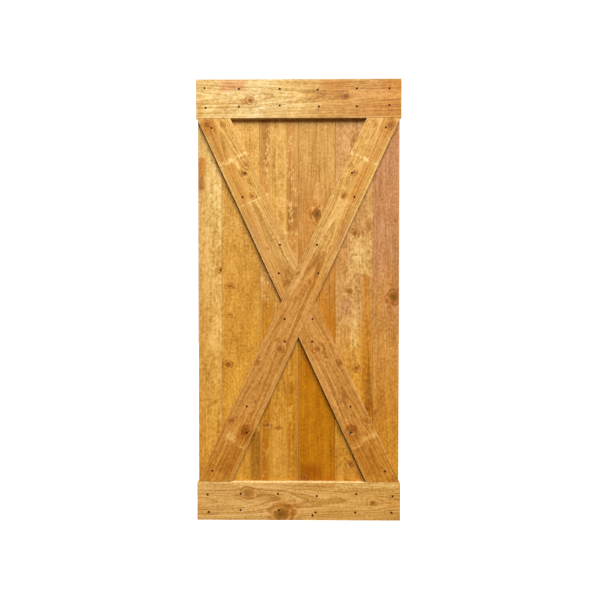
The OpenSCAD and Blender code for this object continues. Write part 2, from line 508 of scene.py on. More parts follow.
def copies(original, name, spots, turn_step=0.0):
    """Copies of original at the spots, each turned a step further, joined into one object."""
    made = []
    for number, spot in enumerate(spots):
        twin = original.copy()
        twin.data = original.data.copy()
        twin.location = spot
        twin.rotation_euler = (0, number * turn_step, 0)
        bpy.context.scene.collection.objects.link(twin)
        made.append(twin)
    bpy.ops.object.select_all(action="DESELECT")
    for twin in made:
        twin.select_set(True)
    bpy.context.view_layer.objects.active = made[0]
    bpy.ops.object.transform_apply(location=True, rotation=True, scale=True)
    bpy.ops.object.join()
    made[0].name = name
    bpy.context.scene.cursor.location = (0, 0, 0)
    bpy.ops.object.origin_set(type="ORIGIN_CURSOR")
    return made[0]


spots = {node: screw_spots(node) for node in screw_nodes}
screws = {
    node: copies(screw, "driven_" + node, spots[node], TURN_STEP)
    for node in screw_nodes
}
bpy.data.objects.remove(screw)
print("screws a node:", [len(spots[node]) for node in screw_nodes])

# %% [markdown]
# ## Screw holes
# A driven screw cuts its own seat, so every board under it needs a hole of the screw's shape, a
# hair wider. The hole is turned like the screw, copied to all spots and taken out of each board.

# %% Screw holes
PLAY = 0.00003
OVERCUT = 0.0014

hole = turned("hole", [
    (-OVERCUT, HEAD_R + PLAY), (HEAD_RIM + PLAY, HEAD_R + PLAY),
    (HEAD_RIM + HEAD_CONE + PLAY, SHANK_R + PLAY), (SCREW_L + PLAY, SHANK_R + PLAY)])
holes = copies(hole, "holes", [spot for node in screw_nodes for spot in spots[node]])
bpy.data.objects.remove(hole)
for piece in boards.values():
    subtract(piece, holes)
    print(f"{piece.name}: {len(piece.data.polygons)} faces once drilled")
bpy.data.objects.remove(holes)

# %% [markdown]
# ## Not quite flat
# Softwood moves as it dries, so no face stays flat. The corners of each board's front and back
# sink by up to a third of a millimetre, following a slow noise. They only ever sink, so a board
# never grows out of its place. The faces are then shaded smooth between their sharp edges.

# %% Not quite flat
SINK = 0.00035
SINK_PER_METRE = Vector((9.0, 0.0, 2.5))
SMOOTH_BELOW = math.radians(30)


def settle(piece, lot):
    """Sinks the front and back faces of a board unevenly."""
    front = min(corner.co.y for corner in piece.data.vertices)
    back = max(corner.co.y for corner in piece.data.vertices)
    for corner in piece.data.vertices:
        place = Vector((corner.co.x, 0, corner.co.z)) * SINK_PER_METRE + Vector((0, lot, 0))
        depth = SINK * (0.5 + 0.5 * noise.noise(place))
        if corner.co.y < front + NEAR:
            corner.co.y += depth
        elif corner.co.y > back - NEAR and back > BOARD_T / 2:
            corner.co.y -= depth
    bpy.ops.object.select_all(action="DESELECT")
    piece.select_set(True)
    bpy.context.view_layer.objects.active = piece
    bpy.ops.object.shade_smooth_by_angle(angle=SMOOTH_BELOW)


for number, piece in enumerate(boards.values()):
    settle(piece, number)
print(f"{len(boards)} boards sank unevenly, by no more than {SINK * 1000:.2f} mm")

# %% [markdown]
# ## Short ways to write a material
# A wood finish takes many small sums, such as how far a point is from the heart of the tree. In
# the shader editor each is a Math node. These helpers add one node a line, take a number or
# another node's output for each value, and give back the output, so that a sum reads as one.

# %% Node helpers
def give(tree, socket, value):
    """Links an output to a socket, or sets the socket to a plain value."""
    if isinstance(value, bpy.types.NodeSocket):
        tree.links.new(value, socket)
    else:
        socket.default_value = value


def calc(tree, operation, *values):
    """A Math node's output."""
    node = tree.nodes.new("ShaderNodeMath")
    node.operation = operation
    for socket, value in zip(node.inputs, values):
        give(tree, socket, value)
    return node.outputs[0]


def vector_calc(tree, operation, *values):
    """A Vector Math node's output."""
    node = tree.nodes.new("ShaderNodeVectorMath")
    node.operation = operation
    for socket, value in zip(node.inputs, values):
        give(tree, socket, value)
    return node.outputs["Vector"]


def parts_of(tree, vector):
    """The X, Y and Z outputs of a vector."""
    node = tree.nodes.new("ShaderNodeSeparateXYZ")
    give(tree, node.inputs[0], vector)
    return node.outputs


def fade(tree, value, start, end):
    """A smooth step: 0 where value is at start, 1 where it is at end."""
    node = tree.nodes.new("ShaderNodeMapRange")
    node.interpolation_type = "SMOOTHSTEP"
    give(tree, node.inputs["Value"], value)
    give(tree, node.inputs["From Min"], start)
    give(tree, node.inputs["From Max"], end)
    return node.outputs["Result"]


def cloud(tree, place, per_metre, detail=2.0):
    """Noise with that many swings a metre along each axis, mostly between 0.3 and 0.7."""
    node = tree.nodes.new("ShaderNodeTexNoise")
    node.inputs["Scale"].default_value = 1.0
    node.inputs["Detail"].default_value = detail
    give(tree, node.inputs["Vector"], vector_calc(tree, "MULTIPLY", place, per_metre))
    return node.outputs["Fac"]


def swing(tree, value, gain):
    """A noise made into a swing to either side of 0."""
    return calc(tree, "MULTIPLY", calc(tree, "SUBTRACT", value, 0.5), gain)


def total(tree, *values):
    """The sum of any number of values."""
    result = values[0]
    for value in values[1:]:
        result = calc(tree, "ADD", result, value)
    return result


def product(tree, *values):
    """The product of any number of values."""
    result = values[0]
    for value in values[1:]:
        result = calc(tree, "MULTIPLY", result, value)
    return result


def length_of(tree, x, y):
    """The length of the step (x, y)."""
    squares = (calc(tree, "POWER", step, 2.0) for step in (x, y))
    return calc(tree, "SQRT", total(tree, *squares))


def blend(tree, share, first, second, how="MIX"):
    """Mixes two colours: first where share is 0."""
    node = tree.nodes.new("ShaderNodeMix")
    node.data_type = "RGBA"
    node.blend_type = how
    give(tree, node.inputs["Factor"], share)
    give(tree, node.inputs["A"], first)
    give(tree, node.inputs["B"], second)
    return node.outputs["Result"]


def ramp(tree, value, stops):
    """A Color Ramp through (place, colour) stops."""
    node = tree.nodes.new("ShaderNodeValToRGB")
    give(tree, node.inputs["Fac"], value)
    elements = node.color_ramp.elements
    while len(elements) < len(stops):
        elements.new(0.5)
    for element, (place, colour) in zip(elements, stops):
        element.position = place
        element.color = colour
    return node.outputs["Color"]


# %% [markdown]
# ## Knots
# A knot is the foot of a branch. The tree's fibres flow round it like water round a pole, and that
# is the sum used here: fibres at a distance q, counted in knot radii, are pushed aside by their
# offset over q squared. Each knot group adds its push to that of the knots before it, and keeps
# how near the nearest knot is. Painting dark spots would be simpler, but the grain would run
# straight through them.

# %% Knot group
def group_tree(name, inputs, outputs):
    """An empty node group, with the sockets of its input and output nodes."""
    tree = bpy.data.node_groups.new(name, "ShaderNodeTree")
    for label, kind in inputs:
        tree.interface.new_socket(label, in_out="INPUT", socket_type="NodeSocket" + kind)
    for label, kind in outputs:
        tree.interface.new_socket(label, in_out="OUTPUT", socket_type="NodeSocket" + kind)
    return tree, tree.nodes.new("NodeGroupInput").outputs, tree.nodes.new("NodeGroupOutput").inputs


def use_group(tree, group, values):
    """A group node with its inputs filled by name. Returns its outputs."""
    node = tree.nodes.new("ShaderNodeGroup")
    node.node_tree = group
    for label, value in values.items():
        give(tree, node.inputs[label], value)
    return node.outputs


FLOW_REACH = 1.3

knot_group, given, result = group_tree(
    "knot",
    [("Place", "Vector"), ("Centre", "Vector"), ("Radius", "Float"), ("Stretch", "Float"),
     ("Tone", "Float"), ("Push", "Float"), ("Nearness", "Float"), ("Dark", "Float")],
    [("Push", "Float"), ("Nearness", "Float"), ("Dark", "Float")])
offset = vector_calc(knot_group, "SUBTRACT", given["Place"], given["Centre"])
offset_x, _, offset_z = parts_of(knot_group, offset)
squeezed_z = calc(knot_group, "DIVIDE", offset_z, given["Stretch"])
q = calc(knot_group, "DIVIDE", length_of(knot_group, offset_x, squeezed_z), given["Radius"])
flow = calc(knot_group, "POWER", calc(knot_group, "DIVIDE", q, FLOW_REACH), 2.0)
push = calc(knot_group, "DIVIDE", offset_x, calc(knot_group, "MAXIMUM", flow, 1.0))
give(knot_group, result["Push"], calc(knot_group, "SUBTRACT", given["Push"], push))
give(knot_group, result["Nearness"], calc(knot_group, "MINIMUM", q, given["Nearness"]))
nearer = calc(knot_group, "LESS_THAN", q, given["Nearness"])
change = calc(knot_group, "SUBTRACT", given["Tone"], given["Dark"])
give(knot_group, result["Dark"], calc(knot_group, "MULTIPLY_ADD", nearer, change, given["Dark"]))
print(f"the knot group has {len(knot_group.nodes)} nodes")

# %% [markdown]
# ## Patches of stain
# Stain sinks in unevenly: sapwood drinks more, a sanded edge less, and a board that lay in the sun
# keeps a pale band. A patch is a box with soft, ragged sides, measured along the board, and it may
# narrow to a point. Its mask is later used to mix in another tone. One patch is a painted highlight
# instead: a cream line along the top edge of the bottom rail, lighter where the lamp shines down on it.

# %% Patch group
patch_group, given, result = group_tree(
    "stain_patch",
    [("Place", "Vector"), ("Centre", "Vector"), ("Half", "Vector"), ("Soft", "Float"),
     ("Ragged", "Float"), ("Taper", "Float"), ("Cloud", "Float")],
    [("Mask", "Float")])
offset = vector_calc(patch_group, "SUBTRACT", given["Place"], given["Centre"])
offset_x, _, offset_z = parts_of(patch_group, offset)
half_x, _, half_z = parts_of(patch_group, given["Half"])
risen = calc(patch_group, "MULTIPLY_ADD", calc(patch_group, "DIVIDE", offset_z, half_z), 0.5, 0.5)
narrowing = calc(patch_group, "SUBTRACT", 1.0, calc(patch_group, "MULTIPLY", risen, given["Taper"]))
half_here = calc(patch_group, "MULTIPLY", half_x, narrowing)
past_x = calc(patch_group, "SUBTRACT", calc(patch_group, "ABSOLUTE", offset_x), half_here)
past_z = calc(patch_group, "SUBTRACT", calc(patch_group, "ABSOLUTE", offset_z), half_z)
past = calc(patch_group, "MAXIMUM", past_x, past_z)
frayed = calc(patch_group, "SUBTRACT", given["Cloud"], 0.5)
past = calc(patch_group, "MULTIPLY_ADD", frayed, given["Ragged"], past)
inside = calc(patch_group, "MULTIPLY", given["Soft"], -1.0)
give(patch_group, result["Mask"], fade(patch_group, past, given["Soft"], inside))
print(f"the patch group has {len(patch_group.nodes)} nodes")

# %% [markdown]
# ## Marks round the screws
# Round each screw head the wood is painted darker, darkest at the head's rim and fading outwards.
# Each mark group is a small round spot, and it keeps the stronger of itself and the marks before it.

# %% Mark group
MARK_START = 0.0068
MARK_FULL = 0.0046

mark_group, given, result = group_tree(
    "screw_mark", [("Place", "Vector"), ("Centre", "Vector"), ("Mark", "Float")],
    [("Mark", "Float")])
offset = vector_calc(mark_group, "SUBTRACT", given["Place"], given["Centre"])
offset_x, _, offset_z = parts_of(mark_group, offset)
reach = length_of(mark_group, offset_x, offset_z)
spot_mask = fade(mark_group, reach, MARK_START, MARK_FULL)
give(mark_group, result["Mark"], calc(mark_group, "MAXIMUM", spot_mask, given["Mark"]))
print(f"the mark group has {len(mark_group.nodes)} nodes")

# %% [markdown]
# ## The tones of the stain
# All boards had the same honey stain, yet the tone differs from board to board, and on most of the
# planks and braces it runs darker and more orange towards the bottom of the door. A few named
# tones cover the door. They are written as they look under the studio lamps, in steps of 0 to
# 255. The paint itself is darker: LAMPS says by how much the lamps lift its red, green and blue,
# GLARE is the white shine on top, and MIDDLE is what the figure of the wood takes away on average.

# %% Tones
LAMPS = (1.45, 1.385, 1.32)
GLARE = 0.007
MIDDLE = (0.78, 0.68, 0.46)


def linear(step):
    """The light that a screen gives for a step from 0 to 255."""
    share = step / 255
    return share / 12.92 if share <= 0.04045 else ((share + 0.055) / 1.055) ** 2.4


def paint(*steps):
    """The paint that looks like this colour under the lamps, less the white glare on top of it."""
    return (*(max(linear(step) - GLARE, GLARE / 4) / lamp for step, lamp in zip(steps, LAMPS)), 1.0)


def tone(red, green, blue):
    """The same, brightened by what the figure takes away."""
    return (*(step / middle for step, middle in zip(paint(red, green, blue), MIDDLE)), 1.0)


CREAM = tone(252, 213, 132)
BUTTER = tone(232, 195, 127)
STRAW = tone(230, 187, 108)
HONEY = tone(222, 168, 84)
SAND = tone(218, 165, 90)
TAN = tone(208, 152, 85)
BISCUIT = tone(210, 155, 77)
GOLD = tone(213, 152, 62)
OCHRE = tone(210, 147, 53)
CLAY = tone(203, 141, 67)
AMBER = tone(200, 133, 50)
COPPER = tone(194, 123, 38)
ROSE = tone(193, 132, 80)
ORANGE = tone(190, 118, 26)
BLUSH = tone(220, 153, 92)
UMBER = tone(164, 104, 34)
RUST = tone(164, 90, 18)
print("the paint of cream, the palest tone:", [round(channel, 2) for channel in CREAM[:3]])

# %% [markdown]
# ## Solid pine
# The finish is a solid texture: it works out, for each point, how far it is from the heart of the
# tree that the board was sawn from. The year rings then run right through the board, so the face
# shows pointed arches, the edges show lines and the ends show arcs, as on real wood. An image
# would have to be joined at every edge. All sums are done in the board's own place: X across the
# board, Y through it and Z along the grain, which a Mapping node centres and turns.

# %% Place on the board
MM = 0.001
KNOT_WANDER = 0.028
KNOT_WANDER_SWINGS = 48.0


def along_board(x, z, centre, turn):
    """A place on the door, in mm, as a place on a board that leans right by turn."""
    right = x * MM - centre[0]
    up = z * MM - centre[1]
    return (right * math.cos(turn) - up * math.sin(turn), 0.0,
            right * math.sin(turn) + up * math.cos(turn))


def board_place(tree, centre, turn, lot):
    """Coordinates on the board, and the same ones moved to another lot of noise."""
    where = tree.nodes.new("ShaderNodeTexCoord")
    place = tree.nodes.new("ShaderNodeMapping")
    place.inputs["Location"].default_value = along_board(0, 0, centre, turn)
    place.inputs["Rotation"].default_value = (0, -turn, 0)
    tree.links.new(where.outputs["Object"], place.inputs["Vector"])
    moved = vector_calc(tree, "ADD", place.outputs["Vector"], (0.0, 3.7 * lot, 1.3 * lot))
    return place.outputs["Vector"], moved


def knot_field(tree, place, lot_place, sheet):
    """Runs the place through every knot: how far fibres are pushed, and the nearest knot."""
    wander = tree.nodes.new("ShaderNodeTexNoise")
    wander.inputs["Scale"].default_value = KNOT_WANDER_SWINGS
    tree.links.new(lot_place, wander.inputs["Vector"])
    bent = vector_calc(tree, "SUBTRACT", wander.outputs["Color"], (0.5, 0.5, 0.5))
    bent = vector_calc(tree, "MULTIPLY", bent, (KNOT_WANDER, 0.0, KNOT_WANDER))
    bent = vector_calc(tree, "ADD", place, bent)
    field = {"Push": 0.0, "Nearness": 99.0, "Dark": 0.0}
    for x, z, radius, stretch, dark in sheet["knots"]:
        out = use_group(tree, knot_group, {
            "Place": bent, "Centre": along_board(x, z, sheet["centre"], sheet["turn"]),
            "Radius": radius * MM, "Stretch": stretch, "Tone": dark, **field})
        field = {label: out[label] for label in field}
    return field


# %% [markdown]
# ## Year rings
# Each year adds pale early wood and then a line of dark late wood. A ring is the fraction left
# over when the distance from the heart is counted in years. Years differ, so a slow noise over
# the count makes some groups of rings darker. The heart lies behind the board and tilts a little,
# and that tilt is what draws arches along the face.

# %% Rings
WOBBLE_SWINGS = (5.0, 5.0, 1.6)
LATE_RISE = (0.3, 0.92)
LATE_FALL = (1.0, 0.94)
YEAR_SWINGS = 0.4


def year_rings(tree, place, lot_place, push, heart):
    """Late wood lines from 0 to 1, and a noise that tells groups of years apart."""
    x, y, z = parts_of(tree, place)
    wobble = swing(tree, cloud(tree, lot_place, WOBBLE_SWINGS, 3.0), heart["wobble"] * MM)
    side = total(tree, x, push, wobble, -heart["x"] * MM)
    side = calc(tree, "MULTIPLY_ADD", z, -heart["tilt_x"], side)
    deep = total(tree, y, wobble, -heart["y"] * MM)
    deep = calc(tree, "MULTIPLY_ADD", z, -heart["tilt_y"], deep)
    years = calc(tree, "DIVIDE", length_of(tree, side, deep), heart["ring"] * MM)
    part = calc(tree, "FRACT", years)
    late = product(tree, fade(tree, part, *LATE_RISE), fade(tree, part, *LATE_FALL))
    slow = tree.nodes.new("ShaderNodeTexNoise")
    slow.noise_dimensions = "1D"
    slow.inputs["Scale"].default_value = 1.0
    slow.inputs["Detail"].default_value = 2.0
    give(tree, slow.inputs["W"], product(tree, years, YEAR_SWINGS))
    return late, slow.outputs["Fac"]


# %% [markdown]
# ## Stain on one board
# The tone changes along the board, shifted a little by noise so that it never makes a straight
# line, and then the patches are laid over it. Where sandpaper eased a long edge, the stain is
# thin, so a pale line follows it. The patches belong to the front, so they fade out halfway
# through the board, while knots and rings go right through it.

# %% Stain
STAIN_START = 0.007
STAIN_END = 0.013
STAIN_SWINGS = (9.0, 9.0, 4.0)
STAIN_SHIFT = 0.3
WORN_START = 0.007
WORN_END = 0.001
WORN_WAVER = 0.01


def stain(tree, place, lot_place, sheet, mottle):
    """The tone along the board, with its patches and its worn edges."""
    x, y, z = parts_of(tree, place)
    skin = fade(tree, y, sheet["face"] + STAIN_END, sheet["face"] + STAIN_START)
    share = calc(tree, "MULTIPLY_ADD", z, 1 / (sheet["length"] * MM), 0.5)
    uneven = swing(tree, cloud(tree, lot_place, STAIN_SWINGS, 2.0), STAIN_SHIFT)
    colour = ramp(tree, calc(tree, "ADD", share, uneven), sheet["tones"])
    for spot_x, spot_z, half_x, half_z, patch_tone, strength, soft, ragged, taper in sheet["patches"]:
        mask = use_group(tree, patch_group, {
            "Place": place, "Centre": along_board(spot_x, spot_z, sheet["centre"], sheet["turn"]),
            "Half": (half_x * MM, 0.0, half_z * MM), "Soft": soft * MM, "Ragged": ragged * MM,
            "Taper": taper, "Cloud": mottle})["Mask"]
        colour = blend(tree, product(tree, mask, skin, strength), colour, patch_tone)
    if sheet["worn"]:
        edge = sheet["width"] / 2 * MM
        from_middle = total(tree, calc(tree, "ABSOLUTE", x), swing(tree, mottle, WORN_WAVER))
        worn = fade(tree, from_middle, edge - WORN_START, edge - WORN_END)
        colour = blend(tree, product(tree, worn, sheet["worn"]), colour, BUTTER)
    return colour


# %% [markdown]
# ## The whole finish
# One function puts it together for a board. The figure is one number, from pale to dark: late
# wood, groups of years, mottling, streaks along the grain and, round a knot, rings of its own. A
# Color Ramp turns it into a shade that the stain is multiplied by, and dark wood is also more
# orange. Knots get their resin halo and a brown core, and the darkest ones a broken pale collar.
# The bump follows the same figure. Places near a knot are counted in its radii.

# %% Pine finish
SATIN = 0.52
GLOSS = 0.1
BUMP_DEPTH = 0.0004
DARK_WOOD = (0.50, 0.36, 0.17, 1)
PALE_WOOD = (1.0, 1.0, 1.0, 1)
KNOT_HALO = (0.80, 0.60, 0.34, 1)
MOTTLE_SWINGS = (105.0, 105.0, 80.0)
BLOTCH_SWINGS = (34.0, 34.0, 17.0)
STREAK_SWINGS = (110.0, 110.0, 3.0)
DRIFT_SWINGS = (14.0, 14.0, 5.0)
FIBRE_SWINGS = (900.0, 900.0, 25.0)
FIBRE_GAIN = 0.3
LATE_CENTRE = 0.3
KNOT_WAVER = 0.8
CURL_TURNS = 5.0
CURL_WAVER = 14.0
CURL_GAIN = 0.5
COLLAR_SHARE = 0.6
MARK_SHARE = 0.8
# the dark ring painted on the wood round each screw head
SCREW_RING_DARK = paint(84, 40, 6)
COLLAR = paint(240, 190, 108)
KNOT_HEART = paint(108, 66, 22)
KNOT_WOOD = paint(158, 104, 42)
KNOT_RING = paint(132, 84, 32)
KNOT_RIM = paint(142, 84, 20)


def pine(name, sheet):
    """A stained pine material for one board, from its sheet of facts."""
    material = bpy.data.materials.new(name)
    material.use_nodes = True
    tree = material.node_tree
    shader = tree.nodes["Principled BSDF"]
    place, lot_place = board_place(tree, sheet["centre"], sheet["turn"], sheet["lot"])
    field = knot_field(tree, place, lot_place, sheet)
    late, years = year_rings(tree, place, lot_place, field["Push"], sheet["heart"])
    mottle = cloud(tree, lot_place, MOTTLE_SWINGS, 3.0)
    blotch = cloud(tree, lot_place, BLOTCH_SWINGS, 2.0)
    frayed = product(tree, total(tree, mottle, blotch), 0.5)
    streak = cloud(tree, lot_place, STREAK_SWINGS, 3.0)
    drift = cloud(tree, lot_place, DRIFT_SWINGS, 2.0)
    fibre = cloud(tree, lot_place, FIBRE_SWINGS, 2.0)

    near = total(tree, field["Nearness"], swing(tree, mottle, KNOT_WAVER))
    curl_zone = product(tree, fade(tree, near, 3.2, 1.4), fade(tree, near, 0.8, 1.1), field["Dark"])
    curl_turns = calc(tree, "MULTIPLY_ADD", near, CURL_TURNS, swing(tree, blotch, CURL_WAVER))
    curl = product(tree, calc(tree, "SINE", curl_turns), product(tree, curl_zone, CURL_GAIN))

    gains = sheet["figure"]
    figure = total(
        tree, calc(tree, "MULTIPLY_ADD", late, gains["late"], 0.5 - LATE_CENTRE * gains["late"]),
        swing(tree, years, gains["years"]), swing(tree, mottle, gains["mottle"]),
        swing(tree, blotch, gains["blotch"]), swing(tree, streak, gains["streak"]),
        swing(tree, drift, gains["drift"]), swing(tree, fibre, FIBRE_GAIN), curl)
    shade = ramp(tree, figure, [(0.0, PALE_WOOD), (0.5, (*MIDDLE, 1)), (1.0, DARK_WOOD)])
    colour = blend(tree, 1.0, stain(tree, place, lot_place, sheet, frayed), shade, "MULTIPLY")

    halo = calc(tree, "POWER", fade(tree, near, 3.4, 0.9), 1.5)
    colour = blend(tree, product(tree, halo, field["Dark"]), colour, KNOT_HALO, "MULTIPLY")
    collar = product(
        tree, fade(tree, near, 1.0, 1.3), fade(tree, near, 2.1, 1.5), fade(tree, blotch, 0.48, 0.60),
        calc(tree, "POWER", field["Dark"], 3.0), COLLAR_SHARE)
    colour = blend(tree, collar, colour, COLLAR)
    core_colour = ramp(tree, near, [
        (0.0, KNOT_HEART), (0.35, KNOT_RING), (0.7, KNOT_WOOD), (1.0, KNOT_RIM)])
    core = product(tree, fade(tree, near, 1.3, 0.75), calc(tree, "POWER", field["Dark"], 1.5))
    colour = blend(tree, core, colour, core_colour)
    # paints the dark ring on the wood round each screw head
    mark = 0.0
    for spot in sheet["screws"]:
        middle = along_board(spot.x / MM, spot.z / MM, sheet["centre"], sheet["turn"])
        mark = use_group(tree, mark_group, {"Place": place, "Centre": middle, "Mark": mark})["Mark"]
    if sheet["screws"]:
        colour = blend(tree, product(tree, mark, MARK_SHARE), colour, SCREW_RING_DARK)
    give(tree, shader.inputs["Base Color"], colour)

    rough = total(tree, SATIN, swing(tree, mottle, 0.25), product(tree, late, -0.06))
    give(tree, shader.inputs["Roughness"], rough)
    shader.inputs["Specular IOR Level"].default_value = GLOSS

    height = total(tree, product(tree, late, 0.35), swing(tree, fibre, 0.6),
                   swing(tree, mottle, 0.8), product(tree, core, 0.5))
    bump = tree.nodes.new("ShaderNodeBump")
    bump.inputs["Distance"].default_value = BUMP_DEPTH
    bump.inputs["Strength"].default_value = 0.5
    give(tree, bump.inputs["Height"], height)
    give(tree, shader.inputs["Normal"], bump.outputs["Normal"])
    return material


# %% [markdown]
# ## What is different on each board
# Each board has a sheet: where it is, how it leans, its heart, its tones from foot to head, its
# knots and its patches. Knots and patches are given by their place on the door in millimetres,
# from the middle and the floor.

# %% Sheets
PLANK_FIGURE = {"late": 0.20, "years": 0.5, "mottle": 1.7, "blotch": 0.8, "streak": 0.45, "drift": 0.6}
STREAKY_FIGURE = {"late": 0.20, "years": 0.6, "mottle": 1.3, "blotch": 0.7, "streak": 0.9, "drift": 0.6}
FRONT_FIGURE = {"late": 0.36, "years": 1.3, "mottle": 1.3, "blotch": 0.5, "streak": 1.1, "drift": 0.4}
UPRIGHT = 0.0
LEVEL = math.pi / 2


def heart_at(x, y, tilt_x, tilt_y, ring, wobble):
    """Where the tree's heart lies from the board's middle in mm, its tilt, and the ring width."""
    return {"x": x, "y": y, "tilt_x": tilt_x, "tilt_y": tilt_y, "ring": ring, "wobble": wobble}


def sheet_for(node, turn, lot, heart, tones, knots, patches, figure=PLANK_FIGURE):
    """The facts of one board. Its centre, width and length are read from its node."""
    low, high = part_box(node)
    middle = (low + high) / 2
    width = high.x - low.x
    length = high.z - low.z
    if turn == LEVEL:
        width, length = length, width
    elif turn != UPRIGHT:
        middle = centre
        width, length = BRACE_W, 2 * brace_half
    front = turn != UPRIGHT
    return {"centre": (middle.x, middle.z), "face": low.y, "length": length / MM, "width": width / MM,
            "turn": turn, "lot": lot, "heart": heart, "tones": tones, "knots": knots,
            "patches": patches, "figure": FRONT_FIGURE if front else figure,
            "worn": 0.35 if front else 0.2, "screws": spots.get(node + "_screws", [])}


def mirrored(items):
    """The same knots or patches on the other side of the door."""
    return [(-item[0], *item[1:]) for item in items]


# %% [markdown]
# ## The planks' sheets
# A knot is (x, z, radius, stretch along the grain, darkness). A patch is (x, z, half its width,
# half its length, tone, strength, softness, raggedness, taper).

# %% Plank sheets
sheets = {
    "plank_1": sheet_for(
        "plank_1", UPRIGHT, 1, heart_at(40, 60, 0.004, 0.015, 4.2, 30),
        [(0.05, OCHRE), (0.27, GOLD), (0.5, HONEY), (0.74, STRAW)],
        [(-482, 1723, 12, 2.0, 0.35), (-482, 1640, 12, 2.2, 0.35), (-379, 1217, 9, 1.2, 1.0)],
        [(-474, 1067, 16, 1067, AMBER, 0.35, 8, 140, 0), (-470, 1712, 17, 50, COPPER, 0.75, 8, 60, 0),
         (-474, 1640, 14, 34, RUST, 0.6, 8, 50, 0.4), (-468, 1672, 16, 1, STRAW, 0.6, 5, 60, 0)]),
    "plank_2": sheet_for(
        "plank_2", UPRIGHT, 2, heart_at(-30, 70, 0.01, 0.02, 4.5, 40),
        [(0.05, OCHRE), (0.36, OCHRE), (0.5, GOLD), (0.92, HONEY)],
        [(-335, 1139, 16, 0.6, 0.8), (-338, 998, 11, 0.7, 0.7), (-347, 756, 14, 0.9, 0.9)],
        [(-212, 290, 26, 140, UMBER, 0.85, 12, 40, 0)]),
    "plank_3": sheet_for(
        "plank_3", UPRIGHT, 3, heart_at(10, 80, 0.006, 0.012, 4.8, 30),
        [(0.05, GOLD), (0.3, OCHRE), (0.6, HONEY), (0.82, HONEY)],
        [(-152, 1087, 4, 1.0, 0.6), (-152, 458, 13, 0.7, 0.8), (-105, 446, 18, 0.35, 0.6)],
        [(-165, 1600, 26, 534, CLAY, 0.8, 6, 110, 0), (-31, 1600, 27, 534, CLAY, 0.85, 6, 110, 0),
         (-165, 1880, 22, 160, UMBER, 0.4, 10, 60, 0), (-162, 533, 25, 534, ORANGE, 0.7, 7, 110, 0),
         (-31, 533, 28, 534, ORANGE, 0.6, 7, 110, 0), (-168, 285, 18, 110, RUST, 0.5, 8, 70, 0),
         (-31, 1468, 25, 58, UMBER, 0.6, 5, 20, 0), (-44, 1398, 34, 5, STRAW, 0.6, 5, 90, 0),
         (-150, 1600, -12, 534, STRAW, 0.5, 6, 300, 0), (-44, 1600, -12, 534, STRAW, 0.5, 6, 300, 0),
         (-150, 533, -14, 534, GOLD, 0.5, 6, 300, 0), (-44, 533, -14, 534, GOLD, 0.5, 6, 300, 0)],
        STREAKY_FIGURE),
    "plank_4": sheet_for(
        "plank_4", UPRIGHT, 4, heart_at(0, 50, 0.0, 0.01, 4.0, 30),
        [(0.1, ORANGE), (0.36, ORANGE), (0.5, COPPER), (0.66, CLAY), (0.85, BISCUIT)],
        [(90, 1491, 19, 1.2, 1.0), (83, 1539, 12, 1.0, 0.3), (71, 1396, 6, 1.2, 0.5),
         (25, 197, 11, 1.2, 0.6)],
        [(64, 226, 54, 36, RUST, 0.9, 24, 90, 0), (88, 130, 92, 90, RUST, 0.4, 40, 60, 0),
         (80, 1491, 40, 60, AMBER, 0.5, 20, 60, 0)],
        STREAKY_FIGURE),
    "plank_5": sheet_for(
        "plank_5", UPRIGHT, 5, heart_at(0, 70, 0.0, 0.03, 4.6, 40),
        [(0.03, AMBER), (0.2, OCHRE), (0.32, OCHRE), (0.5, TAN), (0.9, TAN)],
        [(268, 1847, 9, 1.3, 0.7), (276, 1396, 13, 1.0, 0.9), (343, 1431, 9, 2.2, 0.65),
         (283, 1291, 4, 1.0, 0.8), (336, 1243, 11, 1.2, 0.4), (244, 1115, 11, 0.8, 0.7),
         (291, 1113, 4, 1.0, 0.9), (283, 740, 11, 1.1, 0.8), (253, 266, 9, 1.2, 1.0)],
        [(332, 840, 34, 370, COPPER, 0.85, 12, 60, 0.6), (342, 665, 23, 140, UMBER, 1.0, 2, 5, 0.98),
         (350, 540, 12, 40, RUST, 0.6, 8, 20, 0), (232, 1040, 26, 40, ROSE, 0.6, 8, 40, 0),
         (208, 1330, 22, 150, CLAY, 0.5, 8, 60, 0), (304, 1290, 44, 90, STRAW, 0.6, 10, 90, 0),
         (336, 262, 34, 100, AMBER, 0.6, 12, 60, 0), (268, 1010, 14, 170, STRAW, 0.5, 8, 50, 0.5)]),
    "plank_6": sheet_for(
        "plank_6", UPRIGHT, 6, heart_at(-20, 90, 0.004, 0.012, 4.4, 30),
        [(0.14, OCHRE), (0.25, AMBER), (0.42, CLAY), (0.6, ROSE), (0.95, ROSE)],
        [(464, 1087, 21, 1.1, 1.0), (458, 1149, 12, 0.8, 0.3), (471, 1459, 5, 1.2, 0.7),
         (374, 518, 9, 1.2, 0.7)],
        [(440, 330, 60, 240, COPPER, 0.3, 12, 160, 0)]),
}

# %% [markdown]
# ## The rails' and braces' sheets
# The two upper arms of the X were cut from one board, one after the other, so they carry the same
# knots and bands as each other, mirrored. The same goes for the two lower arms.

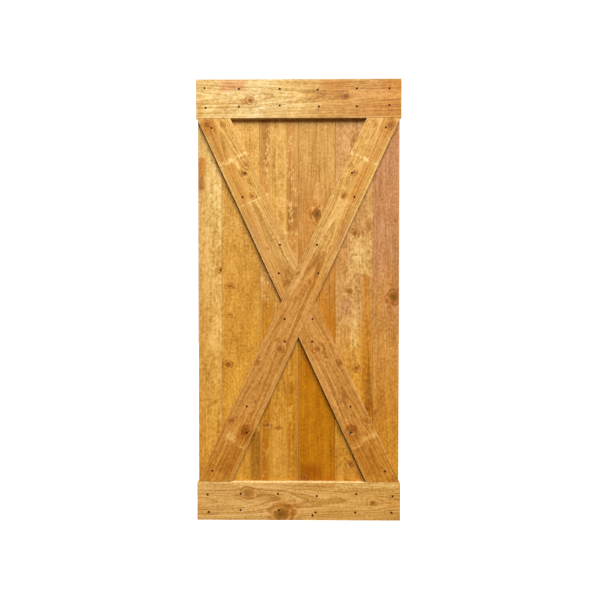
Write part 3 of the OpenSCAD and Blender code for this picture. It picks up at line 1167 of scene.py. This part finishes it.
# %% Rail and brace sheets
upper_knots = [
    (-442, 1916, 13, 1.2, 0.7), (-365, 1918, 9, 1.3, 0.5), (-304, 1806, 4, 1.0, 0.6),
    (-250, 1723, 7, 1.3, 0.5), (-266, 1684, 11, 1.1, 0.8), (-234, 1640, 9, 1.6, 0.4),
    (-222, 1574, 9, 1.3, 0.8), (-150, 1319, 10, 0.8, 0.4),
]
upper_patches = [
    (-396, 1842, 34, 100, CLAY, 0.45, 8, 30, 0),
    (-311, 1753, 76, 6, CREAM, 0.8, 8, 60, 0), (-218, 1550, 74, 1, CREAM, 0.6, 3, 20, 0),
    (-293, 1718, 2, 20, CREAM, 0.7, 4, 12, 0),
    (-147, 1425, 1.5, 150, CREAM, 0.7, 2.5, 8, 0), (-206, 1380, 16, 70, ROSE, 0.45, 20, 60, 0),
    (-290, 1640, 22, 90, AMBER, 0.6, 14, 60, 0), (-440, 1900, 40, 40, AMBER, 0.7, 18, 50, 0),
    (-290, 1610, 16, 560, AMBER, 0.45, 16, 60, 0),
]
lower_knots = [
    (-87, 833, 13, 0.8, 0.8), (-197, 766, 8, 1.2, 0.7), (-210, 582, 5, 1.0, 0.5),
    (-329, 486, 11, 1.1, 0.7), (-256, 441, 12, 1.2, 0.9),
]
lower_patches = [
    (-345, 410, 38, 12, HONEY, 0.7, 10, 60, 0), (-262, 425, 34, 34, RUST, 0.55, 18, 50, 0),
    (-330, 300, 34, 80, RUST, 0.4, 7, 30, 0), (-286, 360, 24, 5, HONEY, 0.7, 5, 20, 0),
]
UPPER_TONES = [(0.55, CLAY), (0.63, SAND), (0.73, BISCUIT), (0.84, HONEY), (0.97, HONEY)]
LOWER_TONES = [(0.05, AMBER), (0.25, CLAY), (0.42, CLAY)]

sheets["top_rail"] = sheet_for(
    "top_rail", LEVEL, 7, heart_at(-12, 55, 0.0, 0.035, 4.2, 30),
    [(0.0, STRAW), (0.3, BUTTER), (0.48, STRAW), (0.62, BISCUIT), (0.85, CLAY), (1.0, AMBER)],
    [(-233, 2033, 12, 1.1, 0.9), (-214, 2033, 3, 1.0, 0.9), (230, 2050, 10, 1.0, 0.9),
     (253, 2051, 5, 1.2, 0.5)],
    [(180, 2104, 24, 62, COPPER, 0.6, 14, 50, 0), (-318, 2104, 24, 58, BLUSH, 0.8, 12, 70, 0),
     (-474, 1990, 36, 14, AMBER, 0.45, 14, 30, 0), (195, 2048, 10, 28, COPPER, 0.6, 10, 30, 0),
     (-262, 2026, 14, 16, AMBER, 0.7, 8, 20, 0), (455, 2112, 24, 50, COPPER, 0.75, 14, 40, 0)])
sheets["bottom_rail"] = sheet_for(
    "bottom_rail", LEVEL, 8, heart_at(8, 60, 0.0, 0.03, 4.4, 40),
    [(0.0, SAND), (0.4, SAND), (0.6, BISCUIT), (1.0, BISCUIT)],
    [(-249, 135, 17, 1.2, 0.6), (-84, 30, 26, 1.4, 0.9), (359, 87, 11, 1.1, 0.8)],
    [(463, 86, 14, 24, AMBER, 0.7, 16, 30, 0), (-50, 62, 26, 40, AMBER, 0.7, 18, 50, 0),
     # the last patch is a painted highlight: a cream line along the top edge of the bottom rail, where
     # the lamp from above falls
     (330, 170, 10, 150, STRAW, 0.5, 8, 40, 0), (0, 187, 1, 494, CREAM, 0.9, 5, 8, 0)])
sheets["long_brace"] = sheet_for(
    "long_brace", LEAN, 9, heart_at(-5, 60, 0.003, 0.02, 4.4, 30),
    LOWER_TONES + UPPER_TONES,
    mirrored(upper_knots) + lower_knots + [
        (-1, 1201, 7, 1.3, 0.7), (51, 1156, 9, 1.2, 0.6), (-14, 1080, 7, 1.8, 0.5)],
    mirrored(upper_patches) + lower_patches + [(140, 1346, 22, 50, HONEY, 0.5, 16, 60, 0)])
sheets["upper_short_brace"] = sheet_for(
    "upper_short_brace", -LEAN, 10, heart_at(5, 60, -0.003, 0.02, 4.4, 30),
    UPPER_TONES, upper_knots + [(-55, 1157, 9, 1.2, 0.6)], upper_patches)
sheets["lower_short_brace"] = sheet_for(
    "lower_short_brace", -LEAN, 11, heart_at(5, 60, -0.003, 0.02, 4.4, 30),
    LOWER_TONES, mirrored(lower_knots), mirrored(lower_patches))
print("knots a board:", {node: len(sheet["knots"]) for node, sheet in sheets.items()})

# %% [markdown]
# ## Dark screw finish
# Such screws have a black phosphate coat: rough, nearly black with a touch of brown, and rubbed
# where the driver bit turned. So the coat is a dark noise with a few brighter scuffs.

# %% Screw finish
COAT_GLOSS = 0.04
COAT_DARK = (0.005, 0.003, 0.002, 1)
COAT_PALE = (0.014, 0.009, 0.006, 1)
COAT_SCUFF = (0.034, 0.022, 0.014, 1)

coat = bpy.data.materials.new("black_phosphate")
coat.use_nodes = True
tree = coat.node_tree
shader = tree.nodes["Principled BSDF"]
where = tree.nodes.new("ShaderNodeTexCoord")
speckle = cloud(tree, where.outputs["Object"], (1500.0, 1500.0, 1500.0), 3.0)
scuff = fade(tree, cloud(tree, where.outputs["Object"], (420.0, 420.0, 420.0), 2.0), 0.6, 0.75)
coat_colour = ramp(tree, speckle, [(0.3, COAT_DARK), (0.7, COAT_PALE)])
coat_colour = blend(tree, scuff, coat_colour, COAT_SCUFF)
give(tree, shader.inputs["Base Color"], coat_colour)
give(tree, shader.inputs["Roughness"], calc(tree, "MULTIPLY_ADD", scuff, -0.15, 0.55))
shader.inputs["Specular IOR Level"].default_value = COAT_GLOSS

# %% [markdown]
# ## Put the pieces in place
# Each board and each set of screws gets its finish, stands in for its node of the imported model
# and rides on its one body.

# %% Into place
for node, piece in boards.items():
    piece.data.materials.clear()
    piece.data.materials.append(pine("pine_" + node, sheets[node]))
for node, piece in screws.items():
    piece.data.materials.clear()
    piece.data.materials.append(coat)
for node, piece in {**boards, **screws}.items():
    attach(piece, "root")
    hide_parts(node)
print(f"{len(boards)} boards and {len(screws)} sets of screws are in place")
